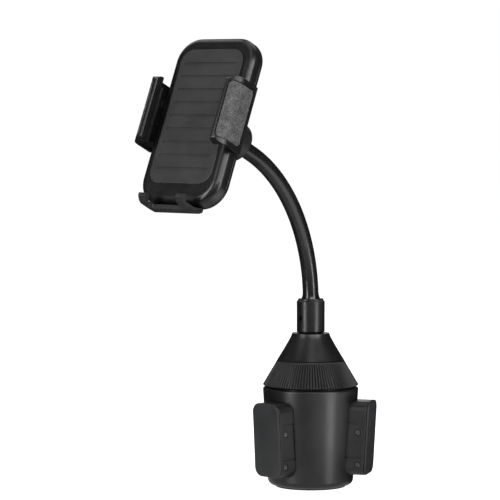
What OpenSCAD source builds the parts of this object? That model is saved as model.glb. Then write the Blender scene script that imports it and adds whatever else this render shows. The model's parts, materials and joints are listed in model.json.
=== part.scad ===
// Cup-holder mount for a phone: an expanding base with three sliding feet, a flexible
// gooseneck, a clamped ball joint and a cradle with two sliding arms and a bottom support.
// The origin is the middle of the base's underside. +Z is up and the cradle faces -Y.

/* [Base] */
// Radius of the base body at its top edge
base_top_r = 31.9; // [30:0.1:34]
// Radius of the base body just above its bottom rounding
base_low_r = 28.6; // [27:0.1:30]
// Height of the base body's top edge above the ground
base_top_z = 66.6; // [66:0.1:68]
// Wall thickness of the base body
base_wall = 2.4; // [2:0.1:2.8]
// Radius of the rounding round the bottom of the base body
base_round = 4; // [3:0.5:5]
// Thickness of the non-slip pad under the base
pad_h = 1.2; // [0.8:0.1:1.4]

/* [Feet] */
// Direction in which the first foot slides, in degrees from +X
first_foot_turn = -97.5; // [-110:0.5:-80]
// Width of a foot across its slide
foot_w = 24.2; // [22:0.1:25]
// Height of a foot
foot_h = 49.1; // [46:0.1:49.1]
// Height of a foot's underside above the ground
foot_z = 9.3; // [8:0.1:9.3]
// Corner radius of a foot, seen from its outer end
foot_corner = 6; // [4:0.5:8]
// Distance from the axis to a foot's outer face at its top edge, as stored
foot_reach = 43.1; // [42:0.1:44]
// Slope of the outer face of a foot, inward towards the bottom
foot_slope = 3.2; // [0:0.1:4]
// Travel of a foot inwards from the stored position
foot_in = 8; // [6:0.5:8]
// Travel of a foot outwards from the stored position
foot_out = 6; // [4:0.5:6]
// Turn of the dial for one millimetre of foot travel
dial_deg_per_mm = 18; // [16:1:18]

/* [Dial and cap] */
// Radius of the dial at its widest
dial_r = 31.9; // [31:0.1:32.5]
// Height where the dial is widest
dial_low_z = 68.3; // [68:0.1:69]
// Height of the seam between the dial and the cap
seam_z = 85; // [82:0.1:86]
// Radius of the cone at that seam
seam_r = 22.2; // [22:0.1:24]
// Height of the cap's flat top
cap_top_z = 102.7; // [101:0.1:104]
// Radius of the cap's flat top
cap_top_r = 12.4; // [12:0.1:13]

/* [Gooseneck] */
// Radius of the collar that clamps the gooseneck
collar_r = 9.35; // [9:0.05:10]
// Height of the collar's top edge
collar_top_z = 125.6; // [124:0.1:126]
// Radius of the gooseneck's core
neck_r = 5; // [4.6:0.1:5.2]
// Height at which the gooseneck starts to bend
bend_z = 124; // [122:0.5:125]
// Radius of the gooseneck's bend
bend_r = 109; // [100:1:120]
// Straight length from the end of the bend to the middle of the ball
neck_end = 27.3; // [27:0.1:30]
// Distance along the gooseneck from the start of the bend to its first pivot
first_pivot = 7; // [6.5:0.5:8]
// Number of pivots that stand for the gooseneck's bending
neck_pivots = 9; // [9:1:9]

/* [Ball joint] */
// Radius of the ball
ball_r = 8; // [7.8:0.1:8]
// Distance from the front face of the held phone back to the middle of the ball
ball_depth = 41; // [40:0.5:42]
// Outer radius of the clamping nut
nut_r = 13.2; // [13:0.1:14]
// Length of the clamping nut
nut_h = 22.5; // [22:0.5:23]

/* [Cradle] */
// Angle that the cradle leans back from upright
lean = 24.05; // [20:0.05:28]
// Width of the cradle's case
case_w = 63.5; // [63:0.5:66.5]
// Height of the cradle's case
case_h = 114; // [111:1:114]
// Height of the case's middle against the middle of the arms
case_mid_z = -1.8; // [-1.8:0.1:0]
// Corner radius of the cradle's case
case_corner = 16.6; // [16:0.1:18]
// Distance from the front face of the held phone back to the case
case_front = 8; // [8:0.1:8.2]
// Distance from the front face of the held phone back to the seam between the case halves
case_seam = 17.4; // [17.4:0.1:17.6]
// Distance from the front face of the held phone back to the rear of the case
case_back = 22; // [22:0.1:22.5]
// Thickness of the case's walls
case_wall = 2; // [1.8:0.1:2]

/* [Arms and support] */
// Height of a side arm
arm_h = 45; // [44:0.5:46]
// Distance from the middle of the cradle to an arm's outer face, as stored
arm_outer_x = 36.7; // [36.7:0.1:37]
// Radius of the round turn from an arm's side to its front
arm_turn_r = 9; // [8:0.5:9.5]
// Travel of each arm outwards
arm_travel = 14; // [8:1:14]
// Number of teeth on the pinion between the two racks
pinion_teeth = 12; // [12:2:12]
// Width of the bottom support
support_w = 38; // [38:1:42]
// Gap between the two fingers of the bottom support
finger_gap = 24.5; // [20:0.5:25]

/* [Hidden] */

$fn = 64;
eps = 0.01;
black = "#1b1c1e";
charcoal = "#2a2b2e";
rubber_black = "#232427";
steel = "#8d9196";

// Base stack, from the ground up
cover_h = 2;
floor_h = 1.8;
cover_r = 24;
hatch_r = 20;
guide_z = 58.8;
guide_h = 2.4;
scroll_z = 61.4;
scroll_h = 2.8;
web_z = 64.5;
web_top_z = 66.9;
journal_r = 5.5;
column_r = 6;
tip_r = 4.5;
shoulder_z = 67.2;
tip_top_z = 107;

// Feet: the follower pins run in spiral slots
pin_r = 1.8;
pin_reach = 18.5;
slot_half = 2;
spiral_k = 180 / (PI * dial_deg_per_mm);
foot_wall = 2.2;
foot_inner = 15.8;
pad_t = 1.4;
plate_t = 2;
foot_turns = [for (i = [0:2]) first_foot_turn + 120 * i];
foot_mid_z = foot_z + foot_h / 2;
foot_screw_heights = [foot_z + 0.15 * foot_h, foot_z + 0.59 * foot_h];
foot_screw_x = foot_reach - 7.9;
lug_x = foot_screw_x - 2.2;

// Gooseneck: an arc that ends along the cradle's normal
bend = 90 - lean;
arc_len = bend_r * bend * PI / 180;
pivot_step = (arc_len - first_pivot) / (neck_pivots - 1);
cup_r = neck_r + 0.3;
shank_r = neck_r - 0.2;
ball_y = -bend_r * (1 - cos(bend)) - neck_end * sin(bend);
ball_z = bend_z + bend_r * sin(bend) + neck_end * cos(bend);

// Cradle mechanism
bar_front = 10.8;
bar_back = 14.2;
pitch_r = pinion_teeth / 2;
tooth_depth_out = 0.9;
tooth_depth_in = 1.15;
tooth_play = 0.15;
pressure = 25;
rack_low = 12;
guide_bar_low = 16.5;
guide_bar_high = 20.5;
lip_x = arm_outer_x - arm_turn_r;
button_z = 26;
button_front = case_back - 4;
bar_end = arm_outer_x - 0.9;
screw_spots = [[-24, -43], [24, -43], [-24, 43], [24, 43]];

// ---------- shared shapes ----------

// Rectangle with round corners, centred on the origin
module round_rect(w, h, r) {
    square([w, h - 2 * r], center = true);
    square([w - 2 * r, h], center = true);
    for (x = [-1, 1], y = [-1, 1])
        translate([x * (w / 2 - r), y * (h / 2 - r)])
            circle(r);
}

// Extrudes an outline drawn in Y and Z along +X
module along_x(len) rotate([90, 0, 90]) linear_extrude(len) children();

// Extrudes an outline drawn in X and Z from y0 back to y1
module along_y(y0, y1) translate([0, y1, 0]) rotate([90, 0, 0]) linear_extrude(y1 - y0) children();

// Cylinder along +Y from y0 to y1
module rod_y(r, y0, y1) translate([0, y0, 0]) rotate([-90, 0, 0]) cylinder(r = r, h = y1 - y0);

// Point on the gooseneck's centre line, s along it from the start of the bend: [y, z, angle]
function neck_at(s) =
    let (a = min(s / bend_r * 180 / PI, bend), rest = max(s - arc_len, 0))
    [-bend_r * (1 - cos(a)) - rest * sin(a), bend_z + bend_r * sin(a) + rest * cos(a), a];

function pivot_s(i) = first_pivot + pivot_step * i;

// Puts children at a point of the gooseneck, with +Z along it
module at_neck(s) {
    p = neck_at(s);
    translate([0, p[0], p[1]])
        rotate([p[2], 0, 0])
            children();
}

// Cradle frame: X across, Z up its face, Y back from the held phone's front face
module in_cradle()
    translate([0, ball_y, ball_z])
        rotate([-lean, 0, 0])
            translate([0, -ball_depth, 0])
                children();

// Foot frame: X outwards along the slide
module in_foot(i) rotate([0, 0, foot_turns[i]]) children();

// Frame of a foot's sloping outer face: origin at its top edge, X outwards
module on_foot_face() translate([foot_reach, 0, foot_z + foot_h]) rotate([0, foot_slope, 0]) children();

// ---------- base ----------

module base_pad() color(rubber_black) difference() {
    cylinder(r = cover_r - 0.6, h = pad_h);
    for (r = [8, 14, 20])
        rotate_extrude() translate([r, -eps]) square([1, 0.5]);
}

module bottom_cover() color(black) difference() {
    translate([0, 0, pad_h]) cylinder(r = cover_r - 0.1, h = cover_h);
    base_screw_spots() cylinder(r = 1.5, h = 10);
    base_screw_spots() cylinder(r = 2.7, h = pad_h + 1.3);
}

module base_screw_spots()
    for (i = [0:2])
        rotate([0, 0, 120 * i + 30]) translate([14, 0, 0]) children();

module base_screws() color(steel) base_screw_spots() {
    difference() {
        translate([0, 0, pad_h + 0.1]) cylinder(r = 2.5, h = 1.2);
        cylinder(r = 1.2, h = pad_h + 0.8, $fn = 6);
    }
    translate([0, 0, pad_h + 1.2]) cylinder(r = 1.4, h = 3);
}

// Half section of the base body, from its underside up to its rounded rim
function body_r(z) = base_low_r + (base_top_r - base_low_r) * (z - 5.2) / (base_top_z - 5.2);
module body_section() {
    bottom = pad_h;
    round_z = bottom + base_round;
    polygon(concat(
        [[cover_r, bottom]],
        [for (a = [0:15:90]) [base_low_r - base_round * (1 - sin(a)), round_z - base_round * cos(a)]],
        [for (a = [0:30:90]) [base_top_r - 1.2 * (1 - cos(a)), base_top_z - 1.2 + 1.2 * sin(a)]],
        [[body_r(base_top_z) - base_wall, base_top_z],
         [body_r(bottom + cover_h + floor_h) - base_wall, bottom + cover_h + floor_h],
         [hatch_r, bottom + cover_h + floor_h],
         [hatch_r, bottom + cover_h],
         [cover_r, bottom + cover_h]]
    ));
}

module base_body() color(black) difference() {
    union() {
        rotate_extrude($fn = 128) body_section();
        for (t = foot_turns) rotate([0, 0, t + 60]) body_pillar();
    }
    for (t = foot_turns) rotate([0, 0, t])
        translate([12, 0, foot_mid_z])
            along_x(30) round_rect(foot_w + 0.5, foot_h + 0.5, foot_corner + 0.25);
    for (t = foot_turns) rotate([0, 0, t + 60])
        translate([24.8, 0, 46]) cylinder(r = 1.2, h = 20);
}

// Post that carries the guide plate, joined to the wall
module body_pillar()
    translate([0, 3.2, 0]) rotate([90, 0, 0]) linear_extrude(6.4)
        polygon([[21.5, 4.9], [27.4, 4.9], [30, guide_z], [21.5, guide_z]]);

module spindle() color(charcoal) difference() {
    union() {
        translate([0, 0, pad_h + cover_h]) cylinder(r = hatch_r - 0.2, h = 2.2);
        translate([0, 0, pad_h + cover_h]) cylinder(r = column_r, h = guide_z - pad_h - cover_h);
        translate([0, 0, guide_z - 1]) cylinder(r = journal_r, h = shoulder_z - guide_z + 1);
        translate([0, 0, shoulder_z - 1]) cylinder(r = tip_r, h = tip_top_z - shoulder_z + 1);
    }
    base_screw_spots() translate([0, 0, pad_h + cover_h - 1]) cylinder(r = 1.4, h = 2);
    base_screw_spots() translate([0, 0, pad_h + cover_h]) cylinder(r = 1.4, h = 3);
}

// Plate with one straight slot for each foot's pin
module guide_plate() color(charcoal) difference() {
    translate([0, 0, guide_z]) cylinder(r = body_r(guide_z) - base_wall - 0.15, h = guide_h);
    translate([0, 0, guide_z - 1]) cylinder(r = journal_r + 0.05, h = guide_h + 2);
    for (t = foot_turns) rotate([0, 0, t]) translate([0, 0, guide_z - 1]) {
        translate([pin_reach - foot_in, -slot_half, 0]) cube([foot_in + foot_out, 2 * slot_half, guide_h + 2]);
        for (x = [-foot_in, foot_out]) translate([pin_reach + x, 0, 0]) cylinder(r = slot_half, h = guide_h + 2);
    }
    for (t = foot_turns) rotate([0, 0, t + 60]) translate([24.8, 0, guide_z]) {
        translate([0, 0, -1]) cylinder(r = 1.3, h = guide_h + 2);
        translate([0, 0, guide_h - 1.4]) cylinder(r = 2.3, h = 3);
    }
}

module guide_screws() color(steel)
    for (t = foot_turns) rotate([0, 0, t + 60]) translate([24.8, 0, guide_z]) {
        translate([0, 0, guide_h - 1.35]) cylinder(r = 2.2, h = 1.2);
        translate([0, 0, -9]) cylinder(r = 1.15, h = 10.4);
    }

// Smooth cone above the dial, with a hub that stands on the spindle's shoulder
module cone_cap() color(black) rotate_extrude($fn = 128) {
    polygon([
        [seam_r - 0.1, seam_z + 0.2], [20.71, 87.3], [18.37, 91.2], [16.03, 95.2], [13.8, 99.2],
        [cap_top_r + 0.35, 101.3], [cap_top_r, cap_top_z], [tip_r + 0.05, cap_top_z],
        [tip_r + 0.05, shoulder_z], [8, shoulder_z], [8, 97], [11, 98], [seam_r - 3, seam_z + 0.2]
    ]);
}

module collar() color(black) difference() {
    rotate_extrude() polygon([
        [tip_r + 0.05, cap_top_z], [collar_r - 1.1, cap_top_z], [collar_r, cap_top_z + 1.1],
        [collar_r, collar_top_z - 1.6], [collar_r - 0.9, collar_top_z - 1.2],
        [collar_r - 0.9, collar_top_z], [6, collar_top_z], [6, tip_top_z + 0.6],
        [tip_r + 0.05, tip_top_z + 0.6]
    ]);
    set_screw_spot() cylinder(r = 2.6, h = 12);
}

// The set screw points at the gooseneck's foot, close to the front of the mount
module set_screw_spot()
    translate([0, 0, 112.5]) rotate([0, 0, -105]) rotate([0, 90, 0]) children();

module collar_set_screw() color(steel) set_screw_spot() difference() {
    translate([0, 0, 5.95]) cylinder(r = 2.5, h = 2.5);
    translate([0, 0, 7]) cylinder(r = 1.3, h = 3, $fn = 6);
}

// ---------- dial ----------

// Edge of a spiral slot where the pin is after d mm of foot travel; turn swings the edge
// point round the pin, from 0 on the outer side to 180 on the inner side
function spiral_edge(d, turn) =
    let (
        a = -d * dial_deg_per_mm,
        r = pin_reach + d,
        out = a + atan2(spiral_k, r) + turn
    )
    [r * cos(a) + slot_half * cos(out), r * sin(a) + slot_half * sin(out)];

module spiral_slot() {
    steps = 36;
    span = foot_in + foot_out;
    polygon(concat(
        [for (i = [0:steps]) spiral_edge(-foot_in + span * i / steps, 0)],
        [for (t = [-20:-20:-160]) spiral_edge(foot_out, t)],
        [for (i = [steps:-1:0]) spiral_edge(-foot_in + span * i / steps, 180)],
        [for (t = [160:-20:20]) spiral_edge(-foot_in, t)]
    ));
}

// Where the dial's screws pass the scroll disc, clear of the spiral slots
module dial_screw_spots()
    for (t = foot_turns)
        rotate([0, 0, t - foot_out * dial_deg_per_mm + 60]) translate([25.9, 0, 0]) children();

module scroll_disc() color(charcoal) difference() {
    translate([0, 0, scroll_z]) cylinder(r = 28.6, h = scroll_h);
    translate([0, 0, scroll_z - 1]) cylinder(r = journal_r + 0.06, h = scroll_h + 2);
    for (t = foot_turns) rotate([0, 0, t])
        translate([0, 0, scroll_z - 1]) linear_extrude(scroll_h + 2) spiral_slot();
    dial_screw_spots() translate([0, 0, scroll_z - 1]) cylinder(r = 1.2, h = scroll_h + 2);
    dial_screw_spots() translate([0, 0, scroll_z - 1]) cylinder(r = 2.1, h = 2.3);
}

module dial_ring() color(charcoal) difference() {
    rotate_extrude($fn = 128) polygon([
        [journal_r + 0.5, web_z], [28.8, web_z], [28.8, base_top_z + 0.4], [30.2, base_top_z + 0.4],
        [dial_r, dial_low_z], [seam_r, seam_z - 0.2], [seam_r - 3, seam_z - 0.2],
        [27.2, 70.6], [25.5, web_top_z], [journal_r + 0.5, web_top_z]
    ]);
    dial_screw_spots() translate([0, 0, web_z - 1]) cylinder(r = 1.05, h = 3);
}

module dial_screws() color(steel) dial_screw_spots() {
    translate([0, 0, scroll_z + 0.2]) cylinder(r = 2, h = 1);
    translate([0, 0, scroll_z + 1]) cylinder(r = 1.05, h = web_z + 0.8 - scroll_z);
}

// ---------- feet ----------

module foot_arm(i) color(black) in_foot(i) difference() {
    intersection() {
        translate([foot_inner, 0, foot_mid_z])
            along_x(30) round_rect(foot_w, foot_h, foot_corner);
        on_foot_face() translate([-60, -20, -60]) cube([60 - pad_t, 40, 70]);
    }
    translate([foot_inner - 1, 0, foot_mid_z])
        along_x(40) round_rect(foot_w - 2 * foot_wall, foot_h - 2 * foot_wall, foot_corner - foot_wall);
    translate([pin_reach, 0, 50]) cylinder(r = pin_r, h = 10);
    foot_screw_spots() {
        cylinder(r = 0.95, h = 6);
        translate([0, 0, foot_wall - 1.5]) cylinder(r = 1.7, h = 3);
    }
    // shallow frame lines on both cheeks
    for (side = [-1, 1], z = [foot_z + 0.25 * foot_h, foot_z + 0.725 * foot_h])
        translate([26, side * foot_w / 2 - 0.25, z]) cube([foot_reach - 31.7, 0.5, 0.5]);
}

// The four screws in a foot's cheeks, with +Z pointing out of the cheek's inner face
module foot_screw_spots()
    for (side = [-1, 1], z = foot_screw_heights)
        translate([foot_screw_x, side * (foot_w / 2 - foot_wall), z])
            rotate([-90 * side, 0, 0]) children();

module foot_screws(i) color(steel) in_foot(i) foot_screw_spots() difference() {
    union() {
        translate([0, 0, foot_wall - 1.4]) cylinder(r = 1.6, h = 1);
        translate([0, 0, -1.6]) cylinder(r = 0.9, h = foot_wall);
    }
    translate([0, 0, foot_wall - 0.9]) cylinder(r = 0.6, h = 2, $fn = 6);
}

// Distance from the axis to the middle of a foot's hard plate, at height z
function plate_x(z) =
    foot_reach - (foot_z + foot_h - z) * tan(foot_slope) - pad_t - plate_t / 2;

// Hard plate behind the rubber, in the mouth of the foot, with two lugs a side for the screws
module foot_plate(i) color(charcoal) in_foot(i) difference() {
    union() {
        on_foot_face() translate([-pad_t - plate_t, 0, -foot_h / 2])
            along_x(plate_t) round_rect(
                foot_w - 2 * foot_wall - 0.2, foot_h - 2 * foot_wall - 0.8, foot_corner - foot_wall
            );
        for (side = [-1, 1], z = foot_screw_heights)
            translate([lug_x, side * (foot_w / 2 - foot_wall - 1.6) - 1.4, z - 2.6])
                cube([plate_x(z) - lug_x, 2.8, 5.2]);
    }
    foot_screw_spots() translate([0, 0, -6]) cylinder(r = 0.95, h = 9);
}

module foot_pad(i) color(rubber_black) in_foot(i) on_foot_face() {
    translate([-pad_t, 0, -foot_h / 2])
        along_x(pad_t - 0.6) round_rect(foot_w, foot_h, foot_corner);
    translate([-0.6, 0, -foot_h / 2])
        along_x(0.6) round_rect(foot_w - 1.2, foot_h - 1.2, foot_corner - 0.6);
}

module foot_pin(i) color(steel) in_foot(i) translate([pin_reach, 0, 0]) {
    translate([0, 0, foot_z + foot_h - foot_wall - 2]) cylinder(r = 2.6, h = 2);
    translate([0, 0, foot_z + foot_h - foot_wall - 0.5])
        cylinder(r = pin_r, h = scroll_z + scroll_h - 0.4 - foot_z - foot_h + foot_wall + 0.5);
}

// ---------- gooseneck ----------

// The foot of the gooseneck, clamped in the collar, up to the first pivot
module neck_ferrule() color(black) difference() {
    union() {
        translate([0, 0, tip_top_z + 1]) cylinder(r = 5.9, h = collar_top_z - tip_top_z - 1);
        translate([0, 0, collar_top_z - 1]) cylinder(r = shank_r, h = neck_at(pivot_s(0))[1] - collar_top_z + 1);
    }
    at_neck(pivot_s(0)) sphere(cup_r);
}

// One stretch of the gooseneck: a round end at its own pivot, a cup at the next
module neck_link(i) color(black) {
    p = neck_at(pivot_s(i));
    q = neck_at(pivot_s(i + 1));
    dy = q[0] - p[0];
    dz = q[1] - p[1];
    translate([0, p[0], p[1]]) difference() {
        union() {
            sphere(neck_r);
            rotate([atan2(-dy, dz), 0, 0]) cylinder(r = shank_r, h = norm([dy, dz]));
        }
        translate([0, dy, dz]) sphere(cup_r);
    }
}

// The last stretch ends in the stem and the ball
module ball_stud() color(charcoal) at_neck(arc_len) {
    sphere(neck_r);
    cylinder(r = shank_r, h = neck_end - 7.8);
    cylinder(r = 4, h = neck_end);
    translate([0, 0, neck_end]) sphere(ball_r);
}

// ---------- ball joint ----------

// Friction washer in front of the ball, round on both faces
module ball_washer() color(rubber_black) in_cradle() translate([0, ball_depth, 0]) rotate([90, 0, 0])
    rotate_extrude() intersection() {
        difference() {
            circle(ball_r + 0.9);
            circle(ball_r + 0.06);
        }
        polygon([[12 * sin(20), 12 * cos(20)], [4 * sin(20), 4 * cos(20)],
                 [4 * sin(70), 4 * cos(70)], [12 * sin(70), 12 * cos(70)]]);
    }

// Ring that the nut squeezes onto the rear of the ball
module ball_collet() color(charcoal) in_cradle() translate([0, ball_depth, 0]) difference() {
    rod_y(nut_r - 2.5, 1.5, 4.4);
    sphere(ball_r + 0.06);
}

// Threaded cup on the back of the case, with a round seat for the washer
module ball_socket() color(charcoal) in_cradle() difference() {
    union() {
        rod_y(14.5, case_back, case_back + 2.5);
        rod_y(nut_r - 2.3, case_back + 2, ball_depth + 1.2);
    }
    translate([0, ball_depth, 0]) sphere(ball_r + 0.96);
    rod_y(ball_r + 0.96, ball_depth, ball_depth + 2);
    socket_screw_spots() rod_y(1.2, case_back - 1, case_back + 5);
}

module socket_screw_spots()
    for (a = [90, 210, 330])
        translate([11.6 * cos(a), 0, 11.6 * sin(a)]) children();

module socket_screws() color(steel) in_cradle() socket_screw_spots() {
    rod_y(2, case_back - 3.4, case_back - case_wall);
    rod_y(1.2, case_back - case_wall - 0.5, case_back + 2.2);
}

// Clamping nut: it runs on the cup and opens out behind the ball for the gooseneck
module ball_nut() color(black) in_cradle() translate([0, ball_depth, 0]) rotate([-90, 0, 0])
    rotate_extrude($fn = 96) polygon(concat(
        [[nut_r - 2.2, 11 - nut_h], [nut_r - 0.8, 11 - nut_h], [nut_r, 11.8 - nut_h]],
        [for (a = [0:15:75]) [nut_r - 1.8 * (1 - cos(a)), 11 - 1.8 * (1 - sin(a))]],
        [[11.4, 11], [7.9, 4.7], [nut_r - 2.2, 4.7]]
    ));

// ---------- cradle case ----------

module case_outline(inset) translate([0, case_mid_z])
    round_rect(case_w - 2 * inset, case_h - 2 * inset, case_corner - inset);

// Slots in the sides of the case for one arm's two bars
module bar_slots() {
    translate([20, bar_front - 0.3, -rack_low - 0.3]) cube([20, bar_back - bar_front + 0.6, 5.4]);
    translate([20, bar_front - 0.3, guide_bar_low - 0.3]) cube([20, bar_back - bar_front + 0.6, 4.6]);
}

module front_case() color(black) in_cradle() difference() {
    union() {
        difference() {
            union() {
                along_y(case_front + 1.6, case_seam) case_outline(0);
                along_y(case_front, case_front + 1.7) case_outline(1.6);
            }
            along_y(case_front + case_wall, case_seam + 1) case_outline(case_wall);
        }
        for (s = screw_spots) translate([s[0], 0, s[1]]) rod_y(3, case_front + 1, case_seam);
        translate([0, 0, button_z + 3]) rod_y(1.5, case_front + 1, case_front + 6);
    }
    for (s = screw_spots) translate([s[0], 0, s[1]]) rod_y(1, case_front + case_wall, case_seam + 1);
    bar_slots();
    rotate([0, 180, 0]) bar_slots();
    // slot for the bottom support's tongue, open at the seam
    translate([-12.3, 14.7, case_mid_z - case_h / 2 - 1]) cube([24.6, 4, 6]);
}

module rear_case() color(black) in_cradle() difference() {
    union() {
        difference() {
            union() {
                along_y(case_seam, case_back - 1.4) case_outline(0);
                along_y(case_back - 1.5, case_back) case_outline(1.4);
            }
            along_y(case_seam - 1, case_back - case_wall) case_outline(case_wall);
        }
        for (s = screw_spots) translate([s[0], 0, s[1]]) rod_y(3, case_seam, case_back - 1);
    }
    for (s = screw_spots) translate([s[0], 0, s[1]]) {
        rod_y(1.1, case_seam - 1, case_back + 1);
        rod_y(2.3, case_back - 1.3, case_back + 1);
    }
    socket_screw_spots() rod_y(1.2, case_back - 4, case_back + 1);
    translate([0, 0, button_z]) along_y(button_front, case_back + 1) round_rect(14.4, 10.4, 2);
}

module case_screws() color(steel) in_cradle()
    for (s = screw_spots) translate([s[0], 0, s[1]]) difference() {
        union() {
            rod_y(2.1, case_back - 1.2, case_back - 0.1);
            rod_y(1, case_front + case_wall + 2, case_back - 1);
        }
        translate([0, case_back - 0.7, 0]) cube([2.6, 2, 0.5], center = true);
        translate([0, case_back - 0.7, 0]) cube([0.5, 2, 2.6], center = true);
    }

// Rubber sheet that the phone's back lies on
module cradle_pad() color(rubber_black) in_cradle() difference() {
    along_y(case_front - 1, case_front) round_rect(50, 92, 9);
    for (z = [-36:9:36])
        translate([-21, case_front - 1.5, z - 0.6]) cube([42, 0.9, 1.2]);
}

// ---------- rack and pinion ----------

// Involute of the pinion's base circle, at radius r: the polar angle from where it starts
function involute(r) = let (c = base_r() / r) tan(acos(c)) * 180 / PI - acos(c);
function base_r() = pitch_r * cos(pressure);
function half_tooth(r) =
    (PI / 2 - tooth_play) / 2 / pitch_r * 180 / PI + involute(pitch_r) - involute(max(r, base_r()));

module pinion_outline() {
    tip = pitch_r + tooth_depth_out;
    circle(pitch_r - tooth_depth_in);
    for (t = [0:pinion_teeth - 1]) rotate(90 + 360 / pinion_teeth * t) {
        radii = concat([4], [for (k = [0:4]) base_r() + (tip - base_r()) * k / 4]);
        polygon(concat(
            [for (r = radii) [r * cos(half_tooth(r)), r * sin(half_tooth(r))]],
            [for (k = [5:-1:0]) let (r = radii[k]) [r * cos(half_tooth(r)), -r * sin(half_tooth(r))]]
        ));
    }
}

// Pinion with a hub and a saw-toothed wheel for the button's nose
module pinion() color(steel) in_cradle() difference() {
    union() {
        along_y(bar_front + 0.3, bar_back - 0.3) pinion_outline();
        rod_y(4, bar_front - 0.5, 17.6);
        along_y(16.2, 17.4) for (t = [0:23]) rotate(15 * t)
            polygon([[0, 0], [8.5, 0], [7.8 * cos(15), 7.8 * sin(15)]]);
    }
    rod_y(2.05, 9, 19);
}

module pinion_pin() color(steel) in_cradle() rod_y(2, case_front + case_wall, case_back - case_wall);

// Straight-flanked rack teeth that point up at the pinion, from x0 to x1
module rack_teeth(x0, x1) {
    lean_out = tan(pressure);
    half = (PI / 2 - tooth_play) / 2;
    for (k = [ceil(x0 / PI):floor(x1 / PI)]) translate([(k + 0.5) * PI, -pitch_r])
        polygon([
            [-half - tooth_depth_in * lean_out - 0.1, -tooth_depth_in - 0.2],
            [half + tooth_depth_in * lean_out + 0.1, -tooth_depth_in - 0.2],
            [half - tooth_depth_out * lean_out, tooth_depth_out],
            [-half + tooth_depth_out * lean_out, tooth_depth_out]
        ]);
}

// ---------- arms ----------

// Section of an arm: flat side, round turn, and a lip over the phone's edge
module arm_section() difference() {
    union() {
        translate([lip_x, 2]) square([arm_turn_r, 13]);
        intersection() {
            translate([lip_x, 2]) circle(arm_turn_r);
            translate([lip_x, -10]) square([20, 13]);
        }
    }
    translate([lip_x - 1, -0.6]) square([arm_outer_x - 2.2 - lip_x + 1, 20]);
}

// Skin of that section, where the textured inlay sits
module inlay_section() {
    translate([arm_outer_x - 0.8, 2]) square([0.8, 10.5]);
    intersection() {
        difference() {
            translate([lip_x, 2]) circle(arm_turn_r);
            translate([lip_x, 2]) circle(arm_turn_r - 0.8);
        }
        translate([lip_x, 2]) polygon([[0, 0], [14 * cos(55), -14 * sin(55)], [14, -14], [14, 0]]);
    }
}

module inlay_shape() intersection() {
    translate([0, 0, -19]) linear_extrude(38) inlay_section();
    translate([20, 4, 0]) along_x(30) round_rect(17.4, 38, 3);
}

// Right-hand arm: shell, rack bar below the pinion and guide bar above it
module arm_shape() {
    difference() {
        intersection() {
            translate([0, 0, -arm_h / 2]) linear_extrude(arm_h) arm_section();
            translate([20, 0, 0]) along_x(20) {
                translate([4, 0]) round_rect(22, arm_h, 5);
                translate([4, -arm_h / 2]) square([11, arm_h]);
            }
        }
        inlay_shape();
    }
    along_y(bar_front, bar_back) {
        translate([-18, -rack_low]) square([bar_end + 18, rack_low - pitch_r - tooth_depth_in]);
        rack_teeth(-18, 4);
    }
    translate([8, bar_front, guide_bar_low])
        cube([bar_end - 8, bar_back - bar_front, guide_bar_high - guide_bar_low]);
}

module arm_right() color(black) in_cradle() arm_shape();
module arm_left() color(black) in_cradle() rotate([0, 180, 0]) arm_shape();
module arm_inlay_right() color(charcoal) in_cradle() inlay_shape();
module arm_inlay_left() color(charcoal) in_cradle() rotate([0, 180, 0]) inlay_shape();

// Rubber strip that presses on the phone's edge
module arm_pad_shape() translate([arm_outer_x - 3, -0.5, -19]) cube([0.8, 8, 38]);
module arm_pad_right() color(rubber_black) in_cradle() arm_pad_shape();
module arm_pad_left() color(rubber_black) in_cradle() rotate([0, 180, 0]) arm_pad_shape();

// ---------- release button ----------

module release_button() color(charcoal) in_cradle() {
    difference() {
        union() {
            translate([0, 0, button_z]) along_y(button_front, case_back + 1.5) round_rect(14, 10, 1.8);
            translate([-8.5, 18.3, button_z - 6.5]) cube([17, 1.5, 13]);
        }
        for (z = [-3:1.5:3]) translate([-5, case_back + 1.1, button_z + z - 0.3]) cube([10, 1, 0.6]);
    }
    // step and nose that reach down to the saw-toothed wheel
    translate([-3, 16.4, button_z - 6]) cube([6, 2.5, 3]);
    translate([-3, 16.4, 8.9]) cube([6, 1.2, button_z - 12]);
}

module button_spring() color(steel) in_cradle() translate([0, 0, button_z + 3]) difference() {
    rod_y(2.6, case_front + case_wall, button_front);
    rod_y(1.8, case_front, button_front + 1);
}

// ---------- bottom support ----------

// Side outline in Y and Z: fingertips, floor under the phone, and the turn up to the tongue
module support_side() polygon([
    [-5, -57.4], [-2.2, -56.9], [-1.2, -58.4], [-0.8, -61.3], [8, -61.4], [12, -60.2], [15, -59.2],
    [17.1, -59.2], [17.1, -61.4], [14, -63.4], [9, -64.5], [2, -64.1], [-3, -62], [-5.2, -59.4]
]);

module bottom_support() color(black) in_cradle() {
    difference() {
        intersection() {
            translate([-support_w / 2, 0, 0]) along_x(support_w) support_side();
            // outline from below: fingers that widen towards the case
            translate([0, 0, -70]) linear_extrude(20) polygon([
                [-17.8, -6], [17.8, -6], [18.2, 0], [support_w / 2, 10], [support_w / 2 - 1, 18],
                [1 - support_w / 2, 18], [-support_w / 2, 10], [-18.2, 0]
            ]);
            // outline from the front: the underside is a shallow curve
            along_y(-10, 20) intersection() {
                translate([0, 55.5]) circle(120, $fn = 128);
                translate([-30, -70]) square([60, 20]);
            }
        }
        // gap between the fingers
        translate([-finger_gap / 2, -8, -70]) cube([finger_gap, 13, 20]);
    }
    // tongue that slides in the case
    translate([-12, 15, -60]) cube([24, 2.1, 44]);
}

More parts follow.
